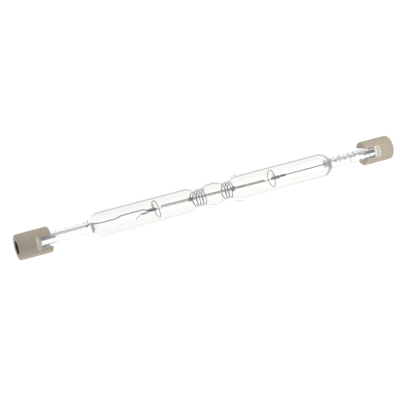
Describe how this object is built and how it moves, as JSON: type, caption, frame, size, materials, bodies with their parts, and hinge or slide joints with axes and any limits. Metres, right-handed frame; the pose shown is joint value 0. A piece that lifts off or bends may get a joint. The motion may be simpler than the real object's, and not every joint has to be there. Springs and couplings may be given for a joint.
{
  "type": "linear halogen bulb",
  "caption": "Double-ended linear halogen lamp: clear quartz tube necked at its middle, coiled filament on wire supports, pinch seals and slotted ceramic caps with recessed contacts.",
  "frame": {"origin": "centre of the lamp, on the glass tube's axis half way between the two cap ends", "axes": "+X along the lamp towards the right cap, +Z along the width of the pinch seals and the open direction of the cap slots, +Y across the seals' flat faces"},
  "size_m": [0.1176, 0.008, 0.008],
  "materials": {
    "quartz": "clear, fire polished",
    "tungsten": "dark drawn wire",
    "molybdenum": "dull drawn wire and foil",
    "contact_nickel": "dull, slightly oxidised",
    "cap_ceramic": "unglazed steatite, matte",
    "cement": "matte, fine grained"
  },
  "bodies": {
    "root": {"quartz_envelope": "quartz", "filament": "tungsten", "left_end_support": "tungsten", "right_end_support": "tungsten", "left_centre_support": "tungsten", "right_centre_support": "tungsten", "left_inner_lead": "molybdenum", "right_inner_lead": "molybdenum", "left_foil": "molybdenum", "right_foil": "molybdenum", "left_outer_lead": "molybdenum", "right_outer_lead": "molybdenum", "left_contact": "contact_nickel", "right_contact": "contact_nickel", "left_cap": "cap_ceramic", "right_cap": "cap_ceramic", "left_cement": "cement", "right_cement": "cement"}
  },
  "joints": []
}
